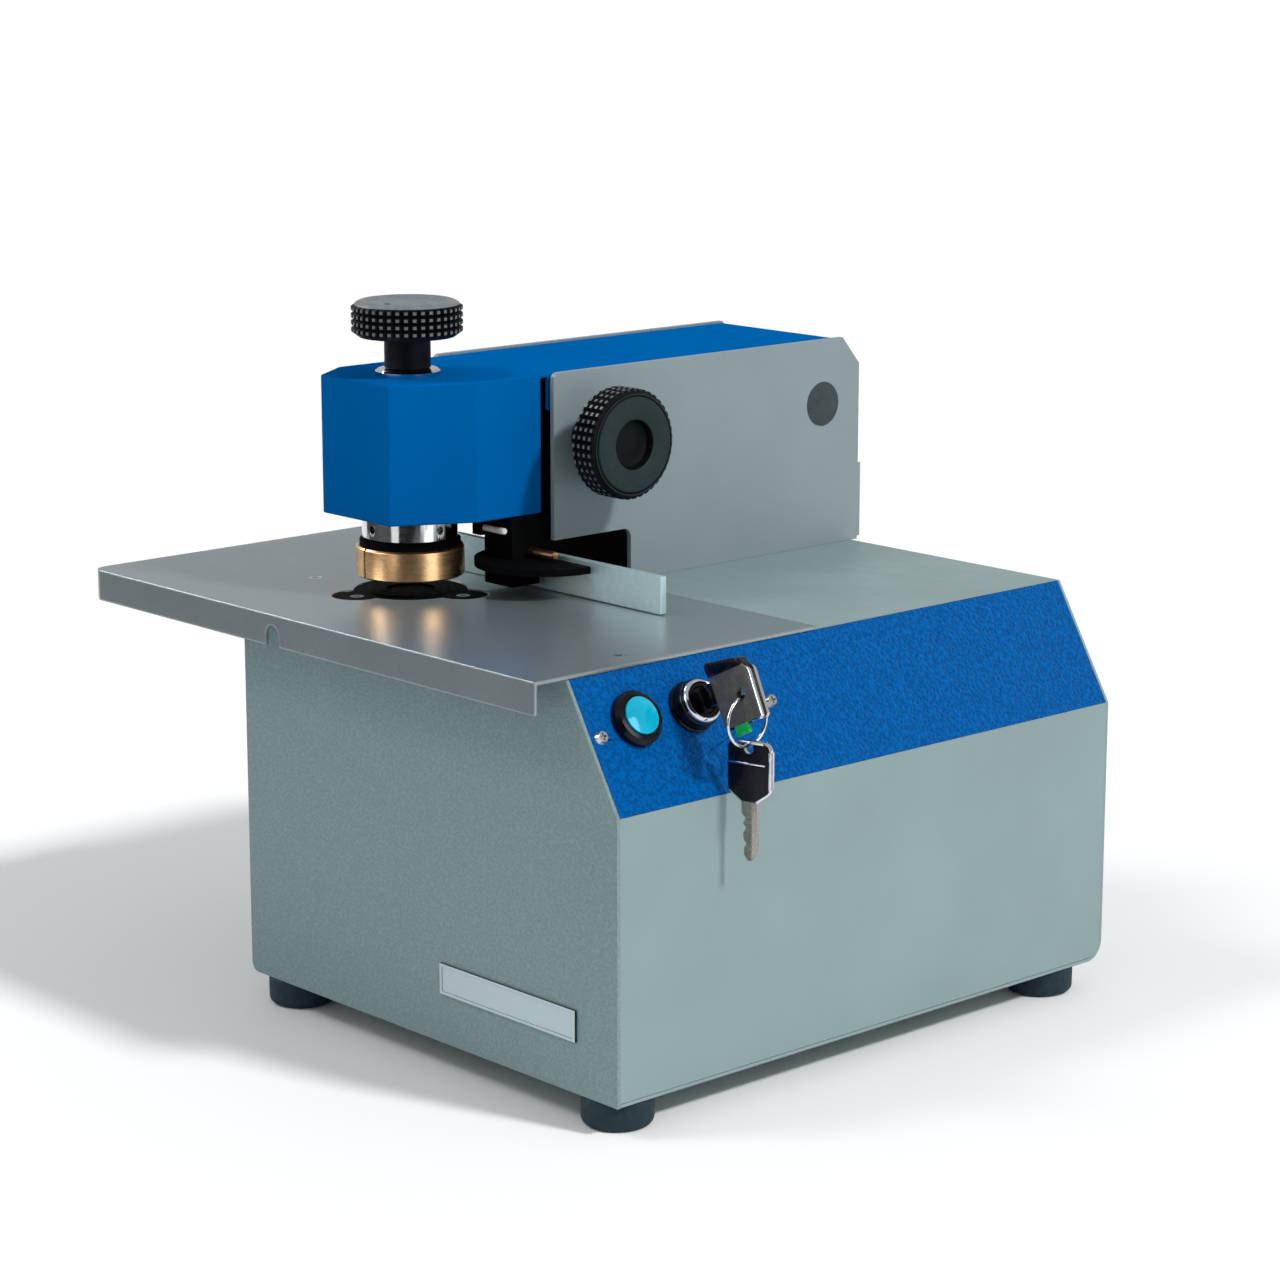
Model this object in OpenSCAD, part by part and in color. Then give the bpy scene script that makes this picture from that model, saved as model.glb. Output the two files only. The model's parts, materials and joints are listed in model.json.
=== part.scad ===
// Benchtop electric stamping press: a sheet-metal case with a work table, an arm over it, and a ram
// that a geared motor drives down through a cam, a pull rod and a rocker lever.
// Frame: millimetres, +Z up, the front faces -Y, the control side faces +X.
// The origin is on the floor at the middle of the whole press.

/* [Case] */
// Width of the case
case_w = 302; // [300:0.5:304]
// Depth of the case
case_d = 363.5; // [362:0.5:365]
// Height of the case top above the floor
case_top = 226.1; // [225.9:0.1:226.3]
// Horizontal run of the sloping control panel
slope_run = 37.4; // [35:0.1:40]
// Height of the sloping control panel
slope_rise = 62.9; // [60:0.1:66]
// Thickness of the case sheet
sheet = 2; // [1.8:0.1:2.2]
// Height of a rubber foot
foot_h = 16; // [15.5:0.1:16.5]
// Diameter of a rubber foot
foot_d = 37; // [34:0.5:39]

/* [Work table] */
// Width of the table sheet
table_w = 381; // [376:1:386]
// Depth of the table sheet
table_d = 191.9; // [190:0.1:193]
// Depth of the bent front and left edges
table_edge = 17; // [15:0.5:19]
// Diameter of the round opening for the lower die
opening_d = 62; // [61.6:0.1:64]

/* [Arm] */
// Top of the two arm side plates
arm_top = 346.4; // [346:0.1:347]
// Underside of the arm side plates, above the throat
throat_top = 255.1; // [254:0.1:256]
// Thickness of an arm side plate
plate_t = 3; // [2.5:0.1:3]
// Bottom edge of the head cover
head_bottom = 270; // [269.5:0.1:271]

/* [Press action] */
// Travel of the ram
stroke = 8; // [7:0.1:8]
// Turn of the cam for one downward stroke, degrees
cam_sweep = 150; // [140:1:160]
// Diameter of the ram
ram_d = 28; // [27:0.1:28]
// Outer diameter of the brass die ring
ring_d = 59; // [58:0.1:60]
// Outer diameter of the chrome collar
collar_d = 52; // [51:0.1:53]

/* [Knobs and controls] */
// Outer diameter of the two knurled knobs
knob_d = 60; // [58:0.5:62]
// Diameter of the push button bezel
bezel_d = 28.5; // [28:0.1:29]
// Diameter of the push button lens
lens_d = 19.5; // [19:0.1:19.6]
// Diameter of the key switch body
lock_d = 25; // [24:0.1:26]

/* [Hidden] */
$fn = 64;

// Case box
x0 = -109;
x1 = x0 + case_w;
y0 = -175;
y1 = y0 + case_d;
z0 = foot_h;
slope_z = case_top - slope_rise;
slope_len = sqrt(slope_run * slope_run + slope_rise * slope_rise);
slope_lean = atan2(slope_rise, slope_run);
nx = slope_rise / slope_len;
nz = slope_run / slope_len;
seam = 2.3;
corner_r = 5.5;
pan_r = 11.5;
pan_x0 = x0 + 20;
pan_top = z0 + 44;
inlet_x = x1 - 72;
board_x = x1 - 126;

// Middle plane of the press, ram axis and lever points
px = x0 + 49;
ram_y = -98.5;
pivot_y = 163;
pivot_z = 309;
rod_y = 75;
cam_z = 130;
lever_ram = pivot_y - ram_y;
lever_rod = pivot_y - rod_y;
lever_angle = asin(stroke / lever_ram);
rod_drop = lever_rod * sin(lever_angle);

// Press frames
frame_in = 33;
frame_out = 41;
frame_top = 341;
frame_under = 272;
jaw_top = 222;
pivot_d = 16;
shaft_d = 20;
bearing_d = 35;

// Table
table_x0 = x0 - 115.7;
table_y0 = y0 - 20.6;
table_z = case_top + sheet;
lobe_r = 33;
lobe_d = 27.4;
lobe_angles = [-100, 20, 140];

// Arm
arm_front = -42.3;
arm_back = 192.8;
throat_back = 13.5;
right_face = px + 54.7;
left_face = x0;
cover_top = arm_top - 1;
cover_back = 177.6;
head_front = -132.9;
head_right = px + 48.6;
head_nose_l = px - 31.8;
head_nose_r = px + 26.2;
head_shoulder_r = -90.8;
head_shoulder_l = -107.9;
head_back = -46;

// Cam and roller
cam_r = 24;
roller_d = 18;
cam_gap = 0.15;
roller_z = cam_z - cam_r - roller_d / 2 - cam_gap;

// Gear train
gear_m = 2;
gear_teeth = 72;
pinion_teeth = 18;
gear_gap = gear_m * (gear_teeth + pinion_teeth) / 2;
gear_lean = 30;
motor_y = rod_y - gear_gap * cos(gear_lean);
motor_z = cam_z - gear_gap * sin(gear_lean);
gear_x0 = px + 49;
gear_x1 = px + 61;
motor_x = px + 69;

// Paper stop drive
knob_y = -18;
knob_z = 309.5;
rack_m = 1;
rack_teeth = 24;
rack_line = knob_z - rack_m * rack_teeth / 2;
stop_travel = 40;
rail_z = 280;
rail_x = 25;
rail_d = 8;
rack_x0 = px + 11;
rack_x1 = px + 21;
fence_y = -46.6;
fence_t = 3.9;
fence_top = 249;

// Adjusting spindle
spindle_d = 10;
nut_z = 324.6;
nut_h = 7.8;

// Controls on the slope: distance from the front and up the slope
control_s = 46.5;
button_y = -142;
lock_y = -104.5;
panel_screws = [[-166.5, 41.2], [-51.8, 41.2]];
table_screws = [[x0 - 11, -118], [x1 - 54, -125]];

// Keys: distance down the slope and height above it in the lock's own frame
lock_top = 12;
bow_hole = [7.6, 40];
bow_t = 5.2;
bow_outline = [
  [-14.6, 25], [-13, 22.8], [18.6, 20.2], [20.4, 21.8], [23.2, 47.4], [21.8, 49.4], [-1.6, 51.8],
  [-4, 51], [-8.8, 46.2], [-9.8, 44.2]
];
ring_r = 13;
ring_wire = 1.6;
ring_tilt = 10;
hang = 1.2;
hole_x = x1 - control_s * nz + bow_hole[1] * nx + bow_hole[0] * nz;
hole_z = slope_z + control_s * nx + bow_hole[1] * nz - bow_hole[0] * nx;
spare_y = lock_y + 2 * ring_r * sin(ring_tilt);
spare_z = hole_z - 2 * hang - 2 * ring_r * cos(ring_tilt);
spare_turn = 15;

// Running clearance on a diameter, and loose clearance on a diameter
run = 0.08;
loose = 0.6;

// Colours
grey = [0.56, 0.61, 0.62];
blue = [0.05, 0.33, 0.62];
black = [0.08, 0.08, 0.09];
steel = [0.66, 0.68, 0.70];
chrome = [0.82, 0.83, 0.85];
brass = [0.76, 0.62, 0.40];
iron = [0.30, 0.32, 0.34];

// ---- Shared shapes ----

// A box from its lowest corner to its highest
module box(low, high) {
  translate(low) cube(high - low);
}

// Round bars along each axis, from one end to the other
module bar_x(d, from, to, y, z) {
  translate([from, y, z]) rotate([0, 90, 0]) cylinder(d = d, h = to - from);
}

module bar_y(d, from, to, x, z) {
  translate([x, from, z]) rotate([-90, 0, 0]) cylinder(d = d, h = to - from);
}

module bar_z(d, from, to, x, y) {
  translate([x, y, from]) cylinder(d = d, h = to - from);
}

// A flat outline made into a slab across each axis
module slab_x(from, to) {
  translate([from, 0, 0]) rotate([90, 0, 90]) linear_extrude(to - from) children();
}

module slab_y(from, to) {
  translate([0, to, 0]) rotate([90, 0, 0]) linear_extrude(to - from) children();
}

module slab_z(from, to) {
  translate([0, 0, from]) linear_extrude(to - from) children();
}

// Points on an arc about c
function arc(c, r, from, to, n = 8) =
  [for (i = [0:n]) let (a = from + (to - from) * i / n) [c[0] + r * cos(a), c[1] + r * sin(a)]];

// Local frame on the sloping panel: X runs down the slope, Y to the back, Z outwards
module on_slope(y, s) {
  translate([x1 - s * nz, y, slope_z + s * nx]) rotate([0, slope_lean, 0]) children();
}

// Involute spur gear outline with its first tooth on the first axis
function involute(a) = tan(a) * 180 / PI - a;
function tooth_half(r, teeth, m, slack) =
  let (rb = m * teeth / 2 * cos(20))
  90 / teeth + involute(20) - involute(acos(min(1, rb / max(r, rb)))) - slack;
function tooth_radii(teeth, m) =
  let (rb = m * teeth / 2 * cos(20), rr = m * (teeth / 2 - 1.25), ra = m * (teeth / 2 + 1))
  concat([rr], [for (i = [0:5]) let (low = max(rb, rr)) low + (ra - low) * i / 5]);

module gear_outline(teeth, m) {
  slack = 0.05 * 180 / PI / (m * teeth / 2);
  radii = tooth_radii(teeth, m);
  count = len(radii);
  polygon([
    for (tooth = [0:teeth - 1])
      for (k = [0:2 * count - 1])
        let (up = k < count, r = radii[up ? k : 2 * count - 1 - k])
        let (half = tooth_half(r, teeth, m, slack), a = tooth * 360 / teeth + (up ? -half : half))
        [r * cos(a), r * sin(a)]
  ]);
}

// ---- Case ----

// Where the slope, moved inwards by d, meets a given height or a given side
function slope_at_z(z, d) = x1 - (d + nz * (z - slope_z)) / nx;
function slope_at_x(x, d) = slope_z + (nx * (x1 - x) - d) / nz;

// Front view of the case, moved inwards by i, with the slope moved inwards by d
module case_outline(i, d, low) {
  right = x1 - i;
  top = case_top - i;
  foot_corner = low > z0 ? [[x0 + i, low]] :
    arc([x0 + corner_r, z0 + corner_r], corner_r - i, 180, 270);
  polygon(concat(foot_corner, [
    [right, low], [right, slope_at_x(right, d)], [slope_at_z(top, d), top], [x0 + i, top]
  ]));
}

// The strip of sheet that lies on the slope
module slope_strip() {
  polygon([
    [x1, slope_z], [x1 - slope_run, case_top],
    [x1 - slope_run - sheet * nx, case_top - sheet * nz], [x1 - sheet * nx, slope_z - sheet * nz]
  ]);
}

module control_holes() {
  on_slope(button_y, control_s) translate([0, 0, -20]) cylinder(d = 22.2, h = 30);
  on_slope(lock_y, control_s) translate([0, 0, -20]) cylinder(d = 22.2, h = 30);
  for (p = panel_screws)
    on_slope(p[0], p[1]) translate([0, 0, -12]) cylinder(d = 4, h = 20);
}

module base_shell() {
  color(grey) difference() {
    slab_y(y0 + sheet, y1 - sheet) difference() {
      union() {
        case_outline(0, 0, z0 + seam);
        intersection() {
          case_outline(0, 0, z0);
          translate([x0, z0]) square([pan_x0 - x0, 20]);
        }
      }
      intersection() {
        case_outline(sheet, 2 * sheet, z0 - 5);
        translate([x0, z0 + corner_r]) square([case_w, case_top]);
      }
      translate([x0 + corner_r, z0 + sheet]) square([case_w - corner_r - sheet, corner_r]);
      translate([x0 + corner_r, z0 + corner_r]) circle(r = corner_r - sheet);
      slope_strip();
    }
    difference() {
      box([x0 - 1, y1 - pan_r, 0], [x1 + 1, y1 + 1, z0 + pan_r]);
      bar_x(2 * (pan_r - sheet), x0 - 2, x1 + 2, y1 - pan_r, z0 + pan_r);
    }
    box([px - frame_out - 2, 15.8, case_top - 5], [px + frame_out + 2, 183, case_top + 1]);
    bar_z(100, case_top - 5, case_top + 1, px, ram_y);
    for (p = table_screws)
      bar_z(4, case_top - 5, case_top + 1, p[0], p[1]);
    control_holes();
  }
}

module front_panel() {
  color(grey) slab_y(y0, y0 + sheet) case_outline(0, 0, z0);
}

module rear_panel() {
  color(grey) difference() {
    slab_y(y1 - sheet, y1) case_outline(0, 0, pan_top + 0.2);
    box([inlet_x - 16, y1 - 5, 88], [inlet_x + 16, y1 + 5, 112]);
    for (i = [0:5])
      box([x0 + 36, y1 - 5, 90 + i * 12], [x0 + 106, y1 + 5, 94 + i * 12]);
  }
}

module bottom_pan() {
  inner = pan_r - sheet;
  c = [y1 - pan_r, z0 + pan_r];
  color(grey) difference() {
    union() {
      box([pan_x0, y0 + sheet, z0], [x1, y1 - pan_r, z0 + sheet]);
      slab_x(x0, x1) polygon(concat(
        arc(c, pan_r, 270, 360, 10), [[y1, pan_top], [y1 - sheet, pan_top]], arc(c, inner, 360, 270, 10)
      ));
    }
    for (i = [0:5])
      box([x0 + 136 + i * 16, -40, z0 - 1], [x0 + 142 + i * 16, 20, z0 + sheet + 1]);
  }
}

module control_panel() {
  color(blue) difference() {
    slab_y(y0 + sheet, y1 - sheet) slope_strip();
    control_holes();
  }
}

module cross_screw() {
  difference() {
    union() {
      translate([0, 0, -8]) cylinder(d = 4, h = 8.2);
      cylinder(d1 = 7.4, d2 = 5.4, h = 2.2, $fn = 40);
    }
    for (a = [0, 90])
      rotate([0, 0, a]) translate([-2.1, -0.45, 1]) cube([4.2, 0.9, 2]);
  }
}

module sunk_screw(depth) {
  difference() {
    union() {
      translate([0, 0, -depth]) cylinder(d = 4, h = depth - 1.8);
      translate([0, 0, -1.9]) cylinder(d1 = 4, d2 = 7.6, h = 1.8);
    }
    for (a = [0, 90])
      rotate([0, 0, a]) translate([-2, -0.4, -1.1]) cube([4, 0.8, 2]);
  }
}

module case_screws() {
  color(steel) {
    for (p = panel_screws)
      on_slope(p[0], p[1]) cross_screw();
    for (p = table_screws)
      translate([p[0], p[1], table_z]) sunk_screw(8);
    for (a = lobe_angles)
      translate([px + lobe_r * cos(a), ram_y + lobe_r * sin(a), table_z - 0.5]) sunk_screw(5.4);
  }
}

module feet() {
  r = foot_d / 2;
  color(black) for (x = [x0 + 22, x1 - 20])
    for (y = [y0 + 18, y1 - 29.5])
      translate([x, y, 0]) rotate_extrude() polygon(concat(
        [[0, 0]], arc([r - 4, 4], 4, 270, 360, 6), [[r, z0 - 1], [r - 1, z0], [0, z0]]
      ));
}

module nameplate() {
  color(steel) difference() {
    box([x1 - 136, y0 - 1.4, 43], [x1 - 30, y0, 59.5]);
    box([x1 - 134, y0 - 2, 44.6], [x1 - 32, y0 - 1, 57.9]);
  }
}

// ---- Work table ----

// Round opening with three round lobes, each grown by g
module lobed(g) {
  circle(d = opening_d + g);
  for (a = lobe_angles)
    rotate(a) translate([lobe_r, 0]) circle(d = lobe_d + g);
}

module table_plan(i, over) {
  r = 9 - i;
  polygon(concat(
    arc([table_x0 + 9, table_y0 + 9], r, 180, 270),
    [[table_x0 + table_w + over, table_y0 + i], [table_x0 + table_w + over, table_y0 + table_d + over],
     [table_x0 + i, table_y0 + table_d + over]]
  ));
}

module work_table() {
  notch_x = px + 4.5;
  notch_w = 11.5;
  color(steel) difference() {
    slab_z(table_z - table_edge, table_z) table_plan(0, 0);
    slab_z(table_z - table_edge - 1, case_top) table_plan(sheet, 5);
    translate([px, ram_y, 0]) slab_z(case_top - 5, table_z + 5) lobed(0);
    for (p = table_screws)
      translate([p[0], p[1], table_z]) {
        translate([0, 0, -5]) cylinder(d = 4, h = 6);
        translate([0, 0, -2]) cylinder(d1 = 4, d2 = 8, h = 2.01);
      }
    box([notch_x - notch_w / 2, table_y0 - 1, table_z - table_edge - 1],
        [notch_x + notch_w / 2, table_y0 + sheet + 1, table_z - table_edge + 5.5]);
    bar_y(notch_w, table_y0 - 1, table_y0 + sheet + 1, notch_x, table_z - table_edge + 5.5);
  }
}

module table_bracket() {
  color(grey) difference() {
    union() {
      box([x0 - 3, -140, 186], [x0, -96, case_top]);
      box([x0 - 70, -140, case_top - 3], [x0, -96, case_top]);
      for (y = [-140, -99])
        slab_y(y, y + 3) polygon([[x0 - 3, 186], [x0 - 3, case_top - 3], [x0 - 60, case_top - 3]]);
    }
    bar_z(4, case_top - 5, case_top + 1, table_screws[0][0], table_screws[0][1]);
  }
}

// ---- Press frame and fixed mechanism ----

module frame_outline() {
  polygon([
    [-96, frame_under], [-96, frame_top], [170, frame_top], [180, frame_top - 12], [180, z0 + sheet],
    [20, z0 + sheet], [20, 80], [-60, 150], [-134, 150], [-134, jaw_top], [20, jaw_top],
    [20, frame_under]
  ]);
}

module press_frame(from, to) {
  color(black) difference() {
    slab_x(from, to) frame_outline();
    bar_x(pivot_d, from - 1, to + 1, pivot_y, pivot_z);
    bar_x(bearing_d, from - 1, to + 1, rod_y, cam_z);
    bar_x(16, from - 1, to + 1, knob_y, knob_z);
  }
}

module press_frame_left() {
  press_frame(px - frame_out, px - frame_in);
}

module press_frame_right() {
  press_frame(px + frame_in, px + frame_out);
}

module frame_ties() {
  color(iron) {
    // Holder for the rear ends of the carriage rails
    difference() {
      box([px - frame_in, 26, 268], [px + frame_in, 38, 286.5]);
      for (s = [-1, 1])
        bar_y(rail_d, 20, 45, px + s * rail_x, rail_z);
    }
    // Guide for the pull rod
    difference() {
      box([px - frame_in, 58, 222], [px + frame_in, 92, 236]);
      bar_z(16 + run, 220, 240, px, rod_y);
    }
    // Tie bars
    for (p = [[165, 50], [165, 215], [35, 50]])
      bar_x(12, px - frame_in, px + frame_in, p[0], p[1]);
  }
}

module anvil() {
  color(iron) box([px - frame_in, -132, 176], [px + frame_in, -66, jaw_top]);
}

module die_plate() {
  color(black) translate([px, ram_y, 0]) difference() {
    slab_z(jaw_top, table_z - 0.5) lobed(-1);
    translate([0, 0, jaw_top - 1]) cylinder(d = 46, h = 20);
    for (a = lobe_angles)
      rotate([0, 0, a]) translate([lobe_r, 0, table_z - 0.5]) {
        translate([0, 0, -8]) cylinder(d = 4, h = 9);
        translate([0, 0, -2]) cylinder(d1 = 4, d2 = 8, h = 2.01);
      }
  }
}

module lower_die() {
  color(iron) translate([px, ram_y, 0]) rotate_extrude() polygon([
    [0, jaw_top], [23, jaw_top], [23, table_z - 0.4], [22, table_z + 0.1], [14, table_z + 0.1],
    [13, table_z - 0.9], [0, table_z - 0.9]
  ]);
}

module head_block() {
  color(black) difference() {
    union() {
      slab_z(frame_under, 291) polygon([
        [px - frame_in, -72], [px - frame_in, -112], [px - 24, -128], [px + 22, -128],
        [px + frame_in, -112], [px + frame_in, -72]
      ]);
      for (s = [-1, 1])
        translate([px + s * 28, -92, 310]) cube([10, 40, 48], center = true);
      box([px - frame_in, -112, 334], [px + frame_in, -82, 342.5]);
    }
    bar_z(ram_d + run, 260, 300, px, ram_y);
    bar_z(spindle_d + run, 330, 345, px, ram_y);
    for (s = [-1, 1])
      bar_y(rail_d, -92, -70, px + s * rail_x, rail_z);
  }
}

// ---- Arm covers ----

module arm_outline() {
  polygon(concat(
    [[arm_front, throat_top]], arc([arm_front + 4, arm_top - 4], 4, 180, 90, 5),
    [[178.8, arm_top], [arm_back, 330.1], [arm_back, case_top], [throat_back, case_top]],
    arc([throat_back - 5, throat_top - 5], 5, 0, 90, 6)
  ));
}

module arm_plate(from, to) {
  difference() {
    slab_x(from, to) arm_outline();
    bar_x(25.6, from - 1, to + 1, pivot_y, pivot_z);
  }
}

module arm_plate_left() {
  color(grey) arm_plate(left_face, left_face + plate_t);
}

module arm_plate_right() {
  color(grey) difference() {
    arm_plate(right_face - plate_t, right_face);
    bar_x(14, right_face - plate_t - 1, right_face + 1, knob_y, knob_z);
  }
}

// Plan of the head, moved inwards by i; the back runs on by over
module head_plan(i, over) {
  right_turn = atan2(head_shoulder_r - head_front, head_right - head_nose_r);
  left_turn = atan2(head_shoulder_l - head_front, head_nose_l - x0);
  polygon([
    [head_nose_l + i * tan(left_turn / 2), head_front + i],
    [head_nose_r - i * tan(right_turn / 2), head_front + i],
    [head_right - i, head_shoulder_r + i * tan((90 - right_turn) / 2)],
    [head_right - i, head_back + over],
    [x0 + i, head_back + over],
    [x0 + i, head_shoulder_l + i * tan((90 - left_turn) / 2)]
  ]);
}

module arm_cover() {
  flange = 20;
  back_x0 = left_face + plate_t + 0.4;
  color(blue) difference() {
    union() {
      slab_z(head_bottom, cover_top) head_plan(0, 0);
      box([back_x0, head_back - 1, cover_top - sheet], [head_right, cover_back, cover_top]);
      box([back_x0, arm_front + 1, cover_top - flange], [head_right, cover_back, cover_top]);
    }
    slab_z(head_bottom - 1, cover_top - sheet) head_plan(sheet, 5);
    box([back_x0 + sheet, head_back - 2, cover_top - flange - 1],
        [head_right - sheet, cover_back + 1, cover_top - sheet]);
    bar_z(12, 330, 350, px, ram_y);
  }
}

module arm_rear_panel() {
  left = left_face + plate_t;
  right = right_face - plate_t;
  color(grey) {
    slab_x(left, right) polygon([
      [188, case_top + 0.2], [190, case_top + 0.2], [190, 330.5], [179.4, 343], [177.8, 341.8],
      [188, 329.7]
    ]);
    difference() {
      box([left + 1, 190, 227], [right - 1, 196.4, 271]);
      box([left + 2.5, 189, 228.5], [right - 2.5, 194.9, 269.5]);
    }
  }
}

module throat_cover() {
  color(black) box([left_face + plate_t, throat_back + 0.1, case_top + 0.1],
                   [right_face - plate_t, throat_back + 2.1, 260]);
}

module pivot_shaft() {
  color(steel) bar_x(pivot_d, px - frame_out - 4, px + frame_out + 9, pivot_y, pivot_z);
}

module pivot_caps() {
  color(iron) {
    bar_x(25.4, left_face, left_face + plate_t, pivot_y, pivot_z);
    bar_x(25.4, right_face - plate_t, right_face, pivot_y, pivot_z);
  }
}

module carriage_rails() {
  color(chrome) for (s = [-1, 1])
    bar_y(rail_d, -92, 38, px + s * rail_x, rail_z);
}

module knob_bush() {
  color(brass) difference() {
    union() {
      bar_x(16, px + frame_in, px + frame_out, knob_y, knob_z);
      bar_x(22, px + frame_out, px + frame_out + 3, knob_y, knob_z);
    }
    bar_x(10 + run, px + 20, px + 60, knob_y, knob_z);
  }
}

module spindle_washer() {
  color(chrome) translate([px, ram_y, cover_top]) difference() {
    union() {
      cylinder(d = 35, h = 2.4);
      translate([0, 0, 2.4]) cylinder(d1 = 35, d2 = 32, h = 1.2);
    }
    translate([0, 0, -1]) cylinder(d = spindle_d + loose, h = 6);
  }
}

module shaft_bearings() {
  color(steel) for (x = [px - frame_out, px + frame_in])
    difference() {
      bar_x(bearing_d, x, x + 8, rod_y, cam_z);
      bar_x(shaft_d + run, x - 1, x + 9, rod_y, cam_z);
    }
}

// ---- Drive and electrics ----

module gear_motor() {
  color(iron) {
    difference() {
      union() {
        bar_x(72, motor_x + 4, motor_x + 40, motor_y, motor_z);
        bar_x(60, motor_x + 40, motor_x + 114, motor_y, motor_z);
        bar_x(64, motor_x + 114, motor_x + 124, motor_y, motor_z);
        for (i = [0:11])
          translate([motor_x + 48, motor_y, motor_z]) rotate([i * 30, 0, 0]) translate([0, -1.5, 20])
            cube([60, 3, 12.5]);
        box([motor_x + 54, motor_y - 18, motor_z + 28], [motor_x + 98, motor_y + 18, motor_z + 44]);
      }
      bar_x(12 + run, motor_x - 2, motor_x + 16, motor_y, motor_z);
    }
  }
}

module motor_bracket() {
  color(steel) difference() {
    union() {
      box([motor_x, motor_y - 42, z0 + sheet], [motor_x + 4, motor_y + 42, motor_z + 42]);
      box([motor_x, motor_y - 42, z0 + sheet], [motor_x + 38, motor_y + 42, z0 + sheet + 4]);
    }
    bar_x(30, motor_x - 2, motor_x + 8, motor_y, motor_z);
  }
}

module control_board() {
  color([0.10, 0.36, 0.20]) {
    box([board_x, 70, 28], [board_x + 100, 150, 29.6]);
    for (x = [board_x + 6, board_x + 94])
      for (y = [76, 144])
        bar_z(6, z0 + sheet, 28, x, y);
    box([board_x + 10, 84, 29.6], [board_x + 40, 116, 54]);
    box([board_x + 50, 124, 29.6], [board_x + 90, 138, 42]);
    for (x = [board_x + 52, board_x + 68, board_x + 84])
      bar_z(12, 29.6, 52, x, 92);
  }
}

module mains_inlet() {
  color(black) difference() {
    union() {
      box([inlet_x - 22, y1, 84], [inlet_x + 22, y1 + 2.5, 116]);
      box([inlet_x - 16, y1 - 30, 88], [inlet_x + 16, y1, 112]);
    }
    box([inlet_x - 13, y1 - 16, 92], [inlet_x + 13, y1 + 4, 108]);
  }
}

module button_bezel() {
  hole = (lens_d + 0.4) / 2;
  color(black) on_slope(button_y, control_s) rotate_extrude() polygon([
    [0, -34], [11, -34], [11, 0], [bezel_d / 2, 0], [bezel_d / 2, 3.4], [bezel_d / 2 - 1.6, 5.6],
    [hole + 1, 6.2], [hole, 5.6], [hole, -7], [0, -7]
  ]);
}

module button_lens() {
  color([0.15, 0.62, 0.75]) on_slope(button_y, control_s) intersection() {
    translate([0, 0, -2.5]) cylinder(d = lens_d, h = 12);
    translate([0, 0, -21.6]) sphere(r = 30);
  }
}

module lock_body() {
  bore = (15 + run) / 2;
  color(black) on_slope(lock_y, control_s) rotate_extrude() polygon([
    [bore, -30], [11, -30], [11, 0], [13.5, 0], [13.5, 1.8], [12.9, 2.6], [lock_d / 2, 2.6],
    [lock_d / 2, lock_top - 3.4], [11.4, lock_top - 1.8], [11, lock_top - 0.6], [10, lock_top],
    [bore, lock_top]
  ]);
}

module lock_cylinder() {
  color(chrome) on_slope(lock_y, control_s) difference() {
    translate([0, 0, -28]) cylinder(d = 15, h = 26.6 + lock_top);
    translate([-4.6, -1.3, -8]) cube([9.2, 2.6, 28]);
  }
}

// ---- Keys ----

module key() {
  color(black) on_slope(lock_y, control_s) difference() {
    union() {
      translate([-4, -1, -6]) cube([8, 2, 22]);
      translate([-5.5, -2.2, lock_top + 0.6]) cube([11, 4.4, 16]);
      translate([0, bow_t / 2, 0]) rotate([90, 0, 0]) linear_extrude(bow_t) polygon(bow_outline);
    }
    translate([bow_hole[0], -5, bow_hole[1]]) rotate([-90, 0, 0]) cylinder(d = 7, h = 10);
  }
}

module key_ring() {
  color(chrome) translate([hole_x, lock_y, hole_z - hang]) rotate([ring_tilt, 0, 0])
    translate([0, 0, -ring_r]) rotate([0, 90, 0]) rotate_extrude() translate([ring_r, 0])
      circle(d = ring_wire, $fn = 20);
}

module spare_key() {
  color(steel) translate([hole_x, spare_y, spare_z]) rotate([0, 0, spare_turn]) difference() {
    union() {
      translate([0, 2, 0]) rotate([90, 0, 0]) linear_extrude(4) polygon(concat(
        arc([8.5, -0.5], 4, 0, 90, 4), arc([-8.5, -0.5], 4, 90, 180, 4),
        arc([-8.5, -20], 4, 180, 235, 3), [[-4.6, -28], [4.6, -28]], arc([8.5, -20], 4, 305, 360, 3)
      ));
      translate([0, 1.1, 0]) rotate([90, 0, 0]) linear_extrude(2.2) polygon([
        [4.4, -27], [4.4, -52], [1.5, -57.5], [-0.5, -57.5], [-2.6, -54.5], [-2.6, -51], [-1.2, -49],
        [-3, -46.5], [-3.2, -43.5], [-1.6, -41], [-3.2, -38.6], [-2, -35.8], [-4.2, -33.4],
        [-4.4, -27]
      ]);
    }
    translate([0, -5, 0]) rotate([-90, 0, 0]) cylinder(d = 6, h = 10);
  }
}

// ---- Ram ----

module ram_shaft() {
  color(chrome) difference() {
    bar_z(ram_d, 257.2, 321.5, px, ram_y);
    box([px - 6.3, ram_y - 20, pivot_z - 7.65], [px + 6.3, ram_y + 20, pivot_z + 7.65]);
  }
}

module ram_collar() {
  color(chrome) translate([px, ram_y, 0]) difference() {
    rotate_extrude() polygon([
      [ram_d / 2, 257.2], [collar_d / 2 - 1, 257.2], [collar_d / 2, 258.2], [collar_d / 2, 270.4],
      [collar_d / 2 - 1, 271.4], [ram_d / 2, 271.4]
    ]);
    for (a = [0, 90, 180, 270])
      rotate([0, 0, a]) translate([collar_d / 2 - 8, 0, 263.6]) rotate([0, 90, 0])
        cylinder(d = 4.3, h = 10);
  }
}

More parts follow.
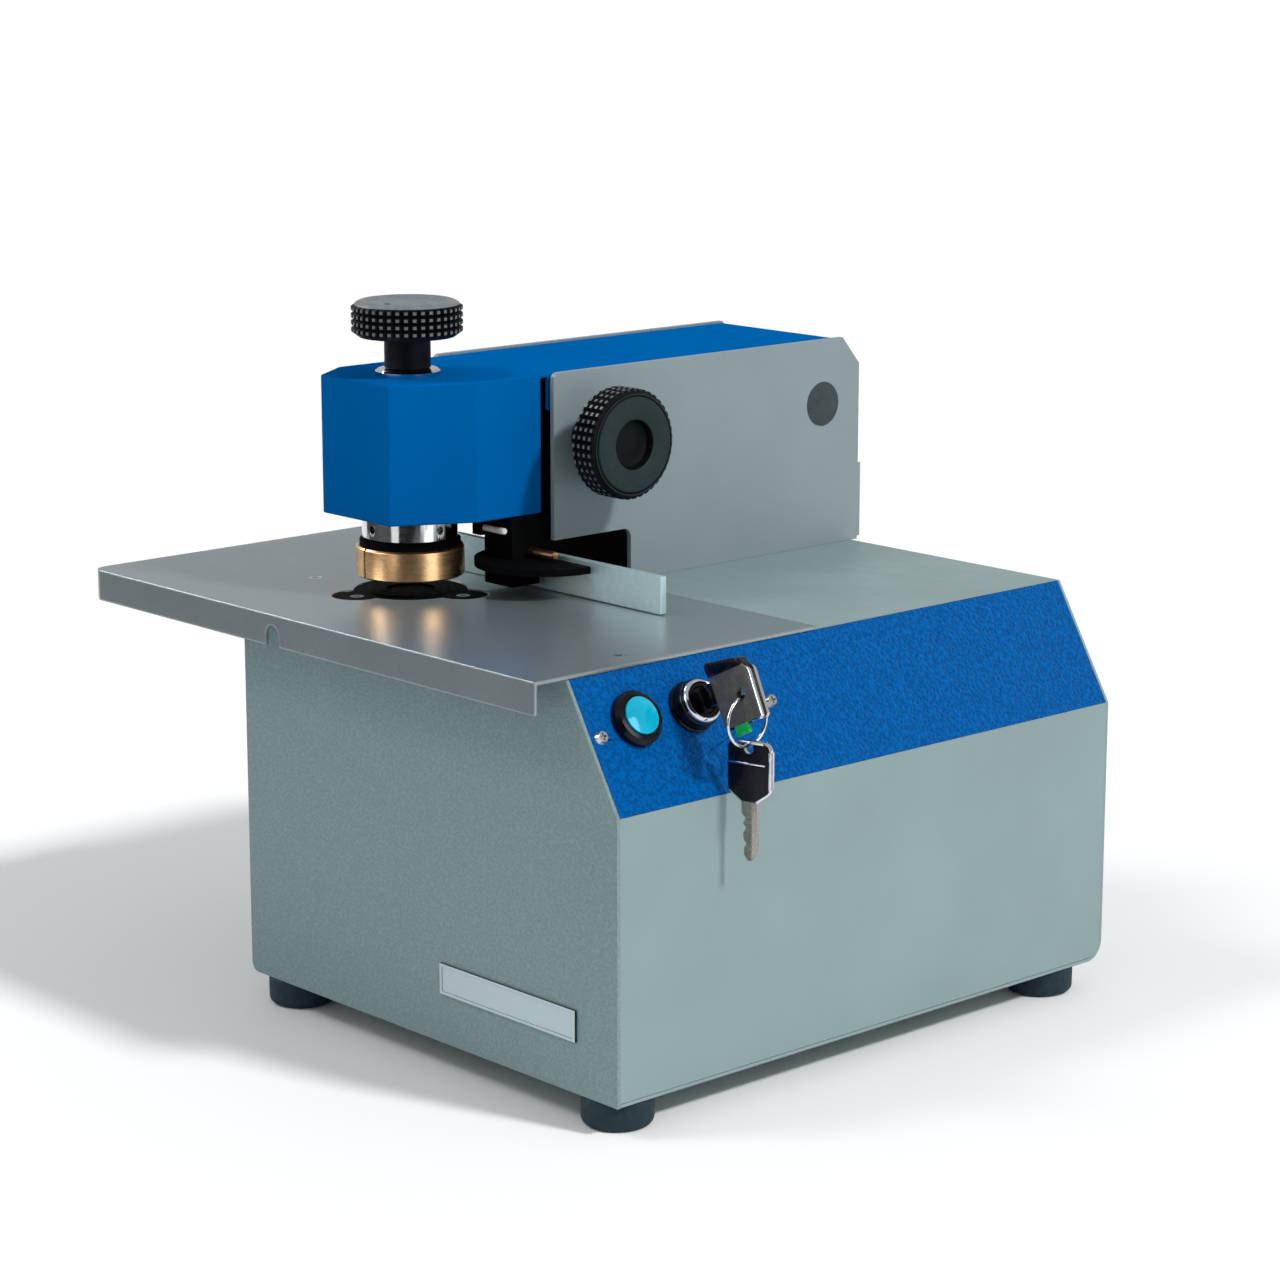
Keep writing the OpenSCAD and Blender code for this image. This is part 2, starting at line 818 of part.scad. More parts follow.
module upper_die() {
  color(black) translate([px, ram_y, 0]) rotate_extrude() polygon([
    [0, 236.9], [12, 236.9], [13, 236.3], [22, 236.3], [23, 236.9], [23, 253.4], [27.5, 253.4],
    [27.5, 256.4], [26.7, 257.2], [0, 257.2]
  ]);
}

module die_ring() {
  color(brass) translate([px, ram_y, 0]) difference() {
    rotate_extrude() polygon([
      [23, 237.4], [23.6, 236.8], [ring_d / 2 - 0.8, 236.8], [ring_d / 2, 237.6],
      [ring_d / 2, 252.4], [ring_d / 2 - 1, 253.4], [23, 253.4]
    ]);
    rotate([0, 0, -95]) translate([0, -0.6, 230]) cube([40, 1.2, 30]);
  }
}

// ---- Rocker, pull rod and cam ----

module rocker_lever() {
  color(iron) difference() {
    slab_x(px - 6, px + 6) union() {
      translate([ram_y, pivot_z]) circle(r = 7.5);
      translate([pivot_y, pivot_z]) circle(r = 18);
      polygon([
        [ram_y, pivot_z - 6.5], [-80, pivot_z - 6.5], [0, 297], [rod_y, 293], [pivot_y, 291],
        [pivot_y, 327], [rod_y, 326], [0, 322], [-80, pivot_z + 6.5], [ram_y, pivot_z + 6.5]
      ]);
    }
    bar_x(pivot_d + run, px - 10, px + 10, pivot_y, pivot_z);
    bar_x(10, px - 10, px + 10, rod_y, pivot_z);
  }
}

module rod_pin() {
  color(steel) bar_x(10, px - 14, px + 14, rod_y, pivot_z);
}

module pull_rod() {
  color(steel) difference() {
    union() {
      for (x = [px - 13, px + 7])
        slab_x(x, x + 6) union() {
          translate([rod_y, pivot_z]) circle(r = 13);
          translate([rod_y - 13, 258]) square([26, pivot_z - 258]);
        }
      box([px - 13, rod_y - 13, 258], [px + 13, rod_y + 13, 276]);
      bar_z(16, 195, 260, px, rod_y);
      box([px - 16, rod_y - 18, 188], [px + 16, rod_y + 18, 200]);
      for (x = [px - 16, px + 9])
        box([x, rod_y - 18, 78], [x + 7, rod_y + 18, 190]);
      bar_x(8, px - 16, px + 16, rod_y, roller_z);
    }
    bar_x(10 + loose, px - 20, px + 20, rod_y, pivot_z);
    for (z = [cam_z, cam_z + rod_drop])
      bar_x(shaft_d + 1, px - 20, px + 20, rod_y, z);
    box([px - 20, rod_y - shaft_d / 2 - 0.5, cam_z],
        [px + 20, rod_y + shaft_d / 2 + 0.5, cam_z + rod_drop]);
  }
}

// Coil spring between the rod guide and the fork of the pull rod
module return_spring() {
  turns = 5;
  steps = 16;
  wire = 2.4;
  mean = 11;
  low = 236 + wire / 2;
  high = 258 - wire / 2;
  count = turns * steps;
  sides = 8;
  points = [
    for (i = [0:count])
      for (k = [0:sides - 1])
        let (a = i * 360 / steps, t = k * 360 / sides, r = mean + wire / 2 * cos(t))
        [r * cos(a), r * sin(a), low + (high - low) * i / count + wire / 2 * sin(t)]
  ];
  walls = [
    for (i = [0:count - 1])
      for (k = [0:sides - 1])
        let (a = i * sides + k, b = i * sides + (k + 1) % sides)
        [a, a + sides, b + sides, b]
  ];
  ends = [[for (k = [0:sides - 1]) k], [for (k = [0:sides - 1]) count * sides + sides - 1 - k]];
  color(steel) translate([px, rod_y, 0]) polyhedron(points, concat(walls, ends));
}

module cam_roller() {
  color(steel) difference() {
    bar_x(roller_d, px - 7.5, px + 7.5, rod_y, roller_z);
    bar_x(8 + run, px - 9, px + 9, rod_y, roller_z);
  }
}

// Cam radius at an angle from +Y towards +Z: level, steady rise, level, return
function cam_radius(a) =
  let (top = 270 - cam_sweep, b = a > 290 ? a - 360 : a)
  b >= 270 ? cam_r :
  b >= top ? cam_r + rod_drop * (270 - b) / cam_sweep :
  b >= top - 20 ? cam_r + rod_drop :
  cam_r + rod_drop * max(0, (b + 70) / (top - 20 + 70));

module cam_disc() {
  color(iron) difference() {
    translate([0, rod_y, cam_z]) slab_x(px - 6.5, px + 6.5)
      polygon([for (a = [0:3:357]) cam_radius(a) * [cos(a), sin(a)]]);
    bar_x(shaft_d, px - 10, px + 10, rod_y, cam_z);
  }
}

module cam_shaft() {
  color(steel) bar_x(shaft_d, px - frame_out - 4, gear_x1 + 2, rod_y, cam_z);
}

module drive_gear() {
  color(steel) difference() {
    translate([0, rod_y, cam_z]) slab_x(gear_x0, gear_x1) gear_outline(gear_teeth, gear_m);
    bar_x(shaft_d, gear_x0 - 1, gear_x1 + 1, rod_y, cam_z);
    for (a = [0:60:300])
      bar_x(26, gear_x0 - 1, gear_x1 + 1, rod_y + 42 * cos(a), cam_z + 42 * sin(a));
  }
}

module motor_pinion() {
  color(brass) {
    translate([0, motor_y, motor_z]) slab_x(gear_x0, gear_x1) gear_outline(pinion_teeth, gear_m);
    bar_x(12, gear_x1 - 1, motor_x + 14, motor_y, motor_z);
  }
}

// ---- Knobs ----

module top_knob() {
  r = knob_d / 2;
  low = cover_top + 3.9;
  color(black) translate([px, ram_y, 0]) rotate_extrude() polygon([
    [spindle_d / 2, low], [12.5, low], [12.5, 366.4], [r - 3, 366.4], [r, 368.6], [r, 382.8],
    [r - 3, 385.8], [r - 6, 385.8], [r - 9, 383.8], [1.6, 383.2], [1.6, 381.5], [0, 381.5],
    [0, 378], [spindle_d / 2, 378]
  ]);
}

module adjust_spindle() {
  color(steel) bar_z(spindle_d, 323, 378, px, ram_y);
}

module stop_nut() {
  color(brass) difference() {
    box([px - 22.7, ram_y - 11.5, nut_z], [px + 22.7, ram_y + 11.5, nut_z + nut_h]);
    bar_z(spindle_d + run, nut_z - 1, nut_z + nut_h + 1, px, ram_y);
  }
}

module side_knob() {
  r = knob_d / 2;
  color(black) translate([right_face, knob_y, knob_z]) rotate([0, 90, 0]) rotate_extrude() polygon([
    [5, 0.3], [12.5, 0.3], [12.5, 18.3], [r - 2, 18.3], [r, 20.3], [r, 36], [r - 2.6, 38.3],
    [15.5, 38.3], [13.4, 35.6], [0, 35], [0, 30], [5, 30]
  ]);
}

module knob_pinion() {
  color(steel) {
    translate([0, knob_y, knob_z]) slab_x(rack_x0, rack_x1) gear_outline(rack_teeth, rack_m);
    bar_x(10, rack_x1 - 1, right_face + 30, knob_y, knob_z);
  }
}

// ---- Paper stop ----

// Straight rack below the knob's pinion, as a side view
module rack_outline() {
  pitch = PI * rack_m;
  low = rack_line - 1.25 * rack_m;
  high = rack_line + rack_m;
  half_low = pitch / 4 + 1.25 * rack_m * tan(20) - 0.06;
  half_high = pitch / 4 - rack_m * tan(20) - 0.06;
  first = floor((knob_y - stop_travel - 4) / pitch);
  span = ceil((stop_travel + 8) / pitch);
  left = knob_y - (span - 0.5) * pitch + 4;
  polygon(concat(
    [[left - 2, 287], [left - 2, low]],
    [for (i = [0:span - 1], k = [0:3])
      let (c = knob_y + (i - span + 1.5) * pitch)
      [c + (k < 1 ? -half_low : k < 2 ? -half_high : k < 3 ? half_high : half_low),
       k == 1 || k == 2 ? high : low]],
    [[knob_y + 4.5, low], [knob_y + 4.5, 287]]
  ));
}

module stop_carriage() {
  color(black) difference() {
    union() {
      box([px - 31, -44, 262], [px + 31, knob_y, 287]);
      box([px + 24, -66, 249.2], [px + 47, -30, 269]);
      box([px + 24, -66, 231], [px + 47, fence_y, 250]);
      box([px + 21, -72, 258], [px + 28, -65, 266]);
      // Half-round foot plate in front of the fence
      intersection() {
        bar_z(76, 242.5, 246.4, px + 51, fence_y);
        box([px, -100, 240], [px + 100, fence_y, 250]);
      }
      slab_x(rack_x0, rack_x1) rack_outline();
    }
    for (s = [-1, 1])
      bar_y(rail_d + run, -50, 0, px + s * rail_x, rail_z);
    bar_x(4.5, px + 39, px + 50, -53, 249.8);
    bar_x(3.5, px + 23, px + 30, -69, 262);
  }
}

module fence() {
  color(steel) box([px - 37, fence_y, table_z + 0.5], [px + 144.6, fence_y + fence_t, fence_top]);
}

module fence_pins() {
  color(brass) bar_x(4.5, px + 39, px + 68.2, -53, 249.8);
  color("white") bar_x(3.5, px + 23, px + 45, -69, 262);
}

base_shell();
front_panel();
rear_panel();
bottom_pan();
control_panel();
case_screws();
feet();
nameplate();
work_table();
table_bracket();
press_frame_left();
press_frame_right();
frame_ties();
anvil();
die_plate();
lower_die();
head_block();
arm_plate_left();
arm_plate_right();
arm_cover();
arm_rear_panel();
throat_cover();
pivot_shaft();
pivot_caps();
carriage_rails();
knob_bush();
spindle_washer();
shaft_bearings();
gear_motor();
motor_bracket();
control_board();
button_bezel();
lock_body();
mains_inlet();
ram_shaft();
ram_collar();
upper_die();
die_ring();
rocker_lever();
rod_pin();
pull_rod();
return_spring();
cam_roller();
cam_shaft();
cam_disc();
drive_gear();
motor_pinion();
top_knob();
adjust_spindle();
stop_nut();
side_knob();
knob_pinion();
stop_carriage();
fence();
fence_pins();
button_lens();
lock_cylinder();
key();
key_ring();
spare_key();
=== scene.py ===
"""Benchtop stamping press: finishes, detailed pieces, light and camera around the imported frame."""

import json
import math

import bmesh
import bpy
from mathutils import Matrix, Vector


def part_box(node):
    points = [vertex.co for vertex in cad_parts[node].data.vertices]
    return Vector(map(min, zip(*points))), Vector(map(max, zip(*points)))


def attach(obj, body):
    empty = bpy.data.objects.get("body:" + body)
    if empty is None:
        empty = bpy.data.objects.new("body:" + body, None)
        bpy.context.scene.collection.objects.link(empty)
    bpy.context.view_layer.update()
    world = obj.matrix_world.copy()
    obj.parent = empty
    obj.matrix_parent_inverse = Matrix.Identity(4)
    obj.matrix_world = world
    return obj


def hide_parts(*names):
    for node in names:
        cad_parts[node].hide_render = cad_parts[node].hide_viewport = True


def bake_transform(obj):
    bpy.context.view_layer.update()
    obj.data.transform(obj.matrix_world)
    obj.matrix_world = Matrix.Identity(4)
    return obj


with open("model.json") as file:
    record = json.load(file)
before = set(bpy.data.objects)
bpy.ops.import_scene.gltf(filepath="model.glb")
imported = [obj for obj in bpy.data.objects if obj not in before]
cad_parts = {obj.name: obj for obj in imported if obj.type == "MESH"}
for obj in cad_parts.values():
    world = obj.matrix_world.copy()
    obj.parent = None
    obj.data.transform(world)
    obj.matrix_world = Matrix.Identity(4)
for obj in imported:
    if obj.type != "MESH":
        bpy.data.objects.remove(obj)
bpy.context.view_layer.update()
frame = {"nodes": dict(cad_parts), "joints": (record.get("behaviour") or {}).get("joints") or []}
MM = 0.001
JOINTS = {joint["name"]: joint for joint in frame["joints"]}
NODES = frame["nodes"]


# ---- Camera, light and floor ----

def camera(place, target, lens):
    """A camera at place that looks at target, in metres, with that focal length in millimetres."""
    data = bpy.data.cameras.new("camera")
    data.lens = lens
    data.sensor_width = 36
    data.clip_start = 0.05
    data.clip_end = 200
    view = bpy.data.objects.new("camera", data)
    view.location = place
    view.rotation_euler = (Vector(target) - Vector(place)).to_track_quat("-Z", "Y").to_euler()
    bpy.context.scene.collection.objects.link(view)
    bpy.context.scene.camera = view


def direction(azimuth, elevation):
    """Unit vector from the object towards a light: azimuth 0 is the front, 90 the right side."""
    a, e = math.radians(azimuth), math.radians(elevation)
    return Vector((math.sin(a) * math.cos(e), -math.cos(a) * math.cos(e), math.sin(e)))


def light(name, kind, azimuth, elevation, power, distance=3.0):
    data = bpy.data.lights.new(name, kind)
    data.energy = power
    lamp = bpy.data.objects.new(name, data)
    away = direction(azimuth, elevation)
    lamp.location = Vector((0, 0, 0.2)) + away * distance
    lamp.rotation_euler = away.to_track_quat("Z", "Y").to_euler()
    bpy.context.scene.collection.objects.link(lamp)
    return lamp


def sun(name, azimuth, elevation, power, softness):
    """Sunlight that doesn't show in reflections."""
    lamp = light(name, "SUN", azimuth, elevation, power)
    lamp.data.angle = math.radians(softness)
    lamp.visible_glossy = False


def softbox(name, azimuth, elevation, power, width, height):
    """A panel that only shows in reflections."""
    lamp = light(name, "AREA", azimuth, elevation, power)
    lamp.data.shape = "RECTANGLE"
    lamp.data.size = width
    lamp.data.size_y = height
    lamp.visible_diffuse = False
    lamp.visible_camera = False


def flag(name, corners):
    """A black card that only shows in reflections."""
    card = mesh_object(name, corners, [(0, 1, 2, 3)])
    card.data.materials.append(Finish(name, (0.012, 0.012, 0.012), 0.9).material)
    for kind in ("camera", "diffuse", "shadow", "transmission"):
        setattr(card, f"visible_{kind}", False)


def studio():
    scene = bpy.context.scene
    scene.view_settings.view_transform = "Standard"
    world = bpy.data.worlds.new("studio")
    world.use_nodes = True
    world.node_tree.nodes["Background"].inputs["Color"].default_value = (0.96, 0.985, 1.0, 1)
    world.node_tree.nodes["Background"].inputs["Strength"].default_value = 0.52
    scene.world = world
    sun("key", 108, 44, 2.3, 7)
    sun("fill", -38, 52, 0.68, 16)
    softbox("right_box", 96, 22, 32, 1.2, 1.6)
    softbox("left_box", -20, 25, 40, 0.9, 1.6)
    softbox("edge_box", -75, 36, 34, 0.9, 0.9)
    floor = mesh_object("floor", [(-40, -40, 0), (40, -40, 0), (40, 40, 0), (-40, 40, 0)], [(0, 1, 2, 3)])
    finish = Finish("pale_floor", (0.90, 0.90, 0.90), 0.65)
    finish.shader.inputs["Specular IOR Level"].default_value = 0.2
    floor.data.materials.append(finish.material)
    flag("front_flag", [(-2.6, -2.6, 0.004), (0.1, -2.6, 0.004), (0.1, -0.5, 0.004), (-2.6, -0.5, 0.004)])
    flag("camera_flag", [(0.95, -0.35, 0.002), (0.35, -1.0, 0.002), (0.35, -1.0, 0.9), (0.95, -0.35, 0.9)])


# ---- Finishes ----

class Finish:
    """A procedural material. Its patterns lie in the row frame, in metres."""

    def __init__(self, name, colour, roughness, metal=0.0, shine=0.4):
        self.material = bpy.data.materials.new(name)
        self.material.use_nodes = True
        self.tree = self.material.node_tree
        self.shader = self.tree.nodes["Principled BSDF"]
        self.colour = colour
        self.shader.inputs["Base Color"].default_value = (*colour, 1)
        self.shader.inputs["Roughness"].default_value = roughness
        self.shader.inputs["Metallic"].default_value = metal
        if not metal:
            self.shader.inputs["Specular IOR Level"].default_value = shine
            self.shader.inputs["Specular Tint"].default_value = (*(min(c / max(colour), 1) for c in colour), 1)
        self.place = self.node("TexCoord").outputs["Object"]
        self.normal = None

    def node(self, kind, inputs=(), **settings):
        made = self.tree.nodes.new("ShaderNode" + kind)
        for key, value in settings.items():
            setattr(made, key, value)
        for key, value in dict(inputs).items():
            if isinstance(value, bpy.types.NodeSocket):
                self.tree.links.new(value, made.inputs[key])
            else:
                made.inputs[key].default_value = value
        return made

    def stretched(self, scale):
        """Coordinates stretched by different amounts along X, Y and Z."""
        return self.node("Mapping", {"Vector": self.place, "Scale": scale}).outputs["Vector"]

    def noise(self, size, detail=2.0, place=None):
        """Cloudy pattern whose lumps measure size, in metres."""
        return self.node("TexNoise", {
            "Vector": place or self.place, "Scale": 1 / size, "Detail": detail, "Roughness": 0.6,
        }).outputs["Fac"]

    def cells(self, size, smooth=0.6):
        """Rounded cells that measure size, in metres, as a hammered enamel has."""
        return self.node("TexVoronoi", {
            "Vector": self.place, "Scale": 1 / size, "Smoothness": smooth,
        }, feature="SMOOTH_F1").outputs["Distance"]

    def span(self, fac, low, high, from_low=0.3, from_high=0.7):
        return self.node("MapRange", {
            "Value": fac, "From Min": from_low, "From Max": from_high, "To Min": low, "To Max": high,
        }).outputs["Result"]

    def tint(self, fac, dark, bright, from_low=0.3, from_high=0.7):
        """The base colour, multiplied by dark to bright as fac rises."""
        ramp = self.node("Mix", {
            "Factor": self.span(fac, 0, 1, from_low, from_high),
            "A": (*(c * dark for c in self.colour), 1),
            "B": (*(min(c * bright, 1) for c in self.colour), 1),
        }, data_type="RGBA")
        return ramp.outputs["Result"]

    def paint(self, colour):
        self.tree.links.new(colour, self.shader.inputs["Base Color"])

    def gloss(self, fac, low, high, from_low=0.3, from_high=0.7):
        self.tree.links.new(self.span(fac, low, high, from_low, from_high), self.shader.inputs["Roughness"])

    def relief(self, height, depth):
        """Adds a relief of that depth in metres."""
        inputs = {"Height": height, "Distance": depth, "Strength": 1.0}
        if self.normal:
            inputs["Normal"] = self.normal
        self.normal = self.node("Bump", inputs).outputs["Normal"]
        self.tree.links.new(self.normal, self.shader.inputs["Normal"])


def enamel(name, colour, roughness=0.42, shine=0.35):
    """Smooth stove enamel with a faint orange peel."""
    finish = Finish(name, colour, roughness, shine=shine)
    finish.paint(finish.tint(finish.noise(0.09), 0.95, 1.05))
    finish.gloss(finish.noise(0.012), roughness - 0.05, roughness + 0.06)
    finish.relief(finish.noise(0.0011, 1.0), 0.00006)
    return finish.material


def hammered(name, colour, cell, depth, roughness, contrast, shine):
    """Hammer-finish enamel: rounded dimples with lighter crests."""
    finish = Finish(name, colour, roughness, shine=shine)
    pattern = finish.cells(cell)
    finish.paint(finish.tint(pattern, 1 - contrast, 1 + contrast, 0.1, 0.7))
    finish.gloss(finish.noise(0.006), roughness - 0.06, roughness + 0.08)
    finish.relief(pattern, depth)
    finish.relief(finish.noise(0.0006, 1.0), depth * 0.12)
    return finish.material


def sheet_steel(name, colour, roughness, grain=0.0016, depth=0.00003, metal=0.7, contrast=0.1, bend=0.0015):
    """Zinc-plated or satin sheet steel with a mottled surface and bright bends of that radius."""
    finish = Finish(name, colour, roughness, metal)
    finish.normal = finish.node("Bevel", {"Radius": bend}, samples=6).outputs["Normal"]
    finish.paint(finish.tint(finish.noise(grain * 2.2, 3.0), 1 - contrast, 1 + contrast))
    finish.gloss(finish.noise(0.03, 1.0), roughness - 0.01, roughness + 0.02)
    finish.relief(finish.noise(grain, 2.0), depth)
    return finish.material


def turned_metal(name, colour, roughness, axis=2, wear=0.12):
    """Turned metal with fine tool marks: rings along the axis that it was turned about."""
    finish = Finish(name, colour, roughness, 1.0)
    stretch = [0.02, 0.02, 0.02]
    stretch[axis] = 1
    marks = finish.noise(0.0005, 2.0, finish.stretched(stretch))
    finish.paint(finish.tint(finish.noise(0.006, 3.0), 1 - wear, 1 + wear))
    finish.gloss(marks, max(roughness - 0.03, 0.02), roughness + 0.04)
    finish.relief(marks, 0.000006)
    return finish.material


def screw_steel_shaded_near_die(name, colour, roughness, middle, reach):
    """Bright screws with painted shade: they turn black within reach of the die's middle, under the head."""
    finish = Finish(name, colour, roughness, 1.0)
    away = finish.node("VectorMath", {0: finish.place, 1: middle}, operation="DISTANCE").outputs["Value"]
    # Painted shade: the colour goes to near black close to the die's middle.
    finish.paint(finish.tint(away, 0.02, 1, reach, reach + 0.001))
    finish.relief(finish.noise(0.0005, 2.0), 0.00001)
    return finish.material


def cast_or_oxide(name, colour, roughness, metal, grain=0.0012, shine=0.3):
    """Dark machined iron or black oxide steel: fine pits and cloudy sheen."""
    finish = Finish(name, colour, roughness, metal, shine)
    finish.paint(finish.tint(finish.noise(0.01, 3.0), 0.75, 1.3))
    finish.gloss(finish.noise(0.004, 2.0), roughness - 0.08, roughness + 0.1)
    finish.relief(finish.noise(grain, 2.0), 0.00005)
    return finish.material


def plastic(name, colour, roughness, grain=0.0007, depth=0.00004, coat=0.0, shine=0.4):
    """Moulded plastic or rubber with a fine spark-eroded texture."""
    finish = Finish(name, colour, roughness, shine=shine)
    finish.paint(finish.tint(finish.noise(0.004, 2.0), 0.85, 1.15))
    finish.gloss(finish.noise(0.003, 2.0), roughness - 0.05, roughness + 0.07)
    finish.relief(finish.noise(grain, 1.0), depth)
    finish.shader.inputs["Coat Weight"].default_value = coat
    finish.shader.inputs["Coat Roughness"].default_value = 0.12
    return finish.material


def lens_plastic(name, colour):
    """Translucent lens that looks brighter towards its rim."""
    finish = Finish(name, colour, 0.16)
    rim = finish.node("LayerWeight", {"Blend": 0.35}).outputs["Facing"]
    finish.paint(finish.tint(finish.noise(0.012), 0.92, 1.08))
    finish.shader.inputs["Subsurface Weight"].default_value = 0.35
    finish.shader.inputs["Subsurface Radius"].default_value = (0.002, 0.004, 0.004)
    finish.shader.inputs["Subsurface Scale"].default_value = 1.0
    finish.shader.inputs["Coat Weight"].default_value = 0.6
    finish.shader.inputs["Coat Roughness"].default_value = 0.08
    finish.gloss(rim, 0.12, 0.22, 0, 1)
    return finish.material


def edged_plate(name, colour, roughness):
    """Satin aluminium label plate with black edges. Its face looks along Y."""
    finish = Finish(name, colour, roughness, 0.6)
    normal = finish.node("SeparateXYZ", {"Vector": finish.node("NewGeometry").outputs["True Normal"]}).outputs["Y"]
    facing = finish.node("Math", {0: normal}, operation="ABSOLUTE").outputs[0]
    finish.paint(finish.tint(facing, 0.04, 1, 0.55, 0.8))
    finish.relief(finish.noise(0.0006, 2.0), 0.000006)
    return finish.material


def circuit_board(name):
    finish = Finish(name, (0.02, 0.13, 0.06), 0.35)
    tracks = finish.node("TexBrick", {
        "Vector": finish.place, "Scale": 160, "Mortar Size": 0.04,
        "Color1": (0.015, 0.11, 0.05, 1), "Color2": (0.02, 0.15, 0.07, 1), "Mortar": (0.06, 0.28, 0.12, 1),
    }).outputs["Color"]
    finish.paint(tracks)
    finish.relief(finish.noise(0.0008), 0.00003)
    return finish.material


GREY = (0.224, 0.298, 0.298)
# The front panel's grey is the case grey made darker: painted shade for the front, which faces away from the key
# light.
SHADED_FRONT_GREY = (0.179, 0.247, 0.254)
ARM_GREY = (0.222, 0.274, 0.288)
BLUE = (0.0, 0.073, 0.26)
COVER_BLUE = (0.0, 0.102, 0.335)

DIE_MIDDLE = sum(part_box("die_ring"), Vector()) / 2

FINISHES = {
    "grey": enamel("grey_enamel", GREY),
    "arm_grey": enamel("arm_grey_enamel", ARM_GREY),
    "hammer_grey": hammered("hammer_grey_enamel", SHADED_FRONT_GREY, 0.0015, 0.00018, 0.40, 0.13, 0.35),
    "hammer_blue": hammered("hammer_blue_enamel", BLUE, 0.0019, 0.00055, 0.26, 0.28, 0.18),
    "blue": enamel("blue_enamel", COVER_BLUE, 0.50, 0.0),
    "table": sheet_steel("plated_table_steel", (0.32, 0.37, 0.38), 0.29, 0.0012, 0.000004, 0.7, 0.05),
    "fence": sheet_steel("satin_fence_steel", (0.60, 0.78, 0.81), 0.32, 0.0012, 0.000006, contrast=0.05, bend=0.0006),
    "steel": turned_metal("bright_steel", (0.55, 0.56, 0.58), 0.28),
    "screw": screw_steel_shaded_near_die("screw_steel_shaded_near_die", (0.62, 0.62, 0.62), 0.22, DIE_MIDDLE, 0.06),
    "spring": turned_metal("spring_wire_steel", (0.40, 0.41, 0.43), 0.30),
    "blade": turned_metal("dull_blade_steel", (0.36, 0.34, 0.30), 0.26),
    "chrome": turned_metal("polished_chrome", (0.66, 0.67, 0.69), 0.10, wear=0.05),
    "brass": turned_metal("turned_brass", (0.84, 0.50, 0.25), 0.28),
    "black": cast_or_oxide("black_oxide_steel", (0.003, 0.0032, 0.0035), 0.6, 0.0, shine=0.02),
    "iron": cast_or_oxide("machined_iron", (0.10, 0.105, 0.11), 0.45, 0.8),
    "cap": cast_or_oxide("dark_end_cap", (0.034, 0.044, 0.047), 0.5, 0.0),
    "rubber": plastic("foot_rubber", (0.018, 0.030, 0.039), 0.62, 0.0009, 0.00006, shine=0.25),
    "knob": plastic("knob_plastic", (0.003, 0.0035, 0.004), 0.5, 0.0008, 0.00005, shine=0.12),
    # Painted highlight: the lighter grey for the flat tips of the knobs' knurl.
    "knob_tip_highlight": plastic("knob_tip_highlight_plastic", (0.12, 0.13, 0.135), 0.35, 0.0008, 0.00002, shine=0.2),
    # Painted light: the lighter grey of the top knob's upward faces.
    "knob_top_painted_light": plastic("knob_top_painted_light_plastic", (0.155, 0.175, 0.182), 0.40, 0.0008, 0.00005),
    "knob_face": plastic("knob_face_plastic", (0.010, 0.016, 0.016), 0.50, 0.0007, 0.0001, shine=0.3),
    "gloss_black": plastic("gloss_black_plastic", (0.002, 0.002, 0.0025), 0.24, 0.0008, 0.00001, 0.08, 0.22),
    "smoky": plastic("smoky_plastic", (0.085, 0.080, 0.072), 0.20, 0.0008, 0.00001, 0.2),
    "nylon": plastic("white_nylon", (0.75, 0.76, 0.74), 0.4),
    "green": plastic("green_tag_plastic", (0.01, 0.36, 0.08), 0.35, coat=0.3),
    "lens": lens_plastic("turquoise_lens", (0.002, 0.37, 0.54)),
    "plate": edged_plate("blank_plate_aluminium", (0.44, 0.53, 0.57), 0.36),
    "board": circuit_board("board_green"),
}

NODE_FINISHES = {
    "grey": ["base_shell", "rear_panel", "bottom_pan"],
    "arm_grey": ["arm_plate_left", "arm_plate_right", "arm_rear_panel"],
    "hammer_grey": ["front_panel"],
    "hammer_blue": ["control_panel"],
    "blue": ["arm_cover"],
    "table": ["work_table"],
    "fence": ["fence"],
    "plate": ["nameplate"],
    "steel": ["pivot_shaft", "shaft_bearings", "motor_bracket", "rod_pin", "pull_rod",
              "cam_roller", "cam_shaft", "drive_gear", "adjust_spindle", "knob_pinion"],
    "chrome": ["carriage_rails", "spindle_washer", "ram_shaft", "ram_collar", "key_ring"],
    "brass": ["die_ring", "knob_bush", "motor_pinion", "stop_nut"],
    # stop_carriage in black reaches down in front of the fence: partly the real carriage, partly painted shade on the
    # fence and table under the arm.
    # throat_cover is a black sheet across the arm's throat that paints in the shade inside it.
    "black": ["press_frame_left", "press_frame_right", "die_plate", "lower_die", "upper_die", "head_block",
              "throat_cover", "stop_carriage"],
    "iron": ["frame_ties", "anvil", "gear_motor", "rocker_lever", "cam_disc"],
    "cap": ["pivot_caps", "table_bracket"],
    "screw": ["case_screws"],
    "rubber": ["feet"],
    "gloss_black": ["button_bezel", "mains_inlet"],
    "lens": ["button_lens"],
    "board": ["control_board"],
}

# Radius of the rounded edges of each sheet or machined part, in millimetres
EDGES = {
    0.5: ["base_shell", "rear_panel", "bottom_pan", "control_panel", "arm_rear_panel", "table_bracket"],
    0.6: ["front_panel", "arm_plate_left", "arm_plate_right", "fence"],
    1.5: ["work_table"],
    1.3: ["arm_cover"],
    0.25: ["nameplate", "die_ring", "upper_die", "ram_collar", "stop_carriage", "pivot_caps", "die_plate"],
}


def dress_nodes():
    for key, names in NODE_FINISHES.items():
        for name in names:
            node = NODES[name]
            node.data.materials.clear()
            node.data.materials.append(FINISHES[key])
    for width, names in EDGES.items():
        for name in names:
            round_edges(NODES[name], width * MM)


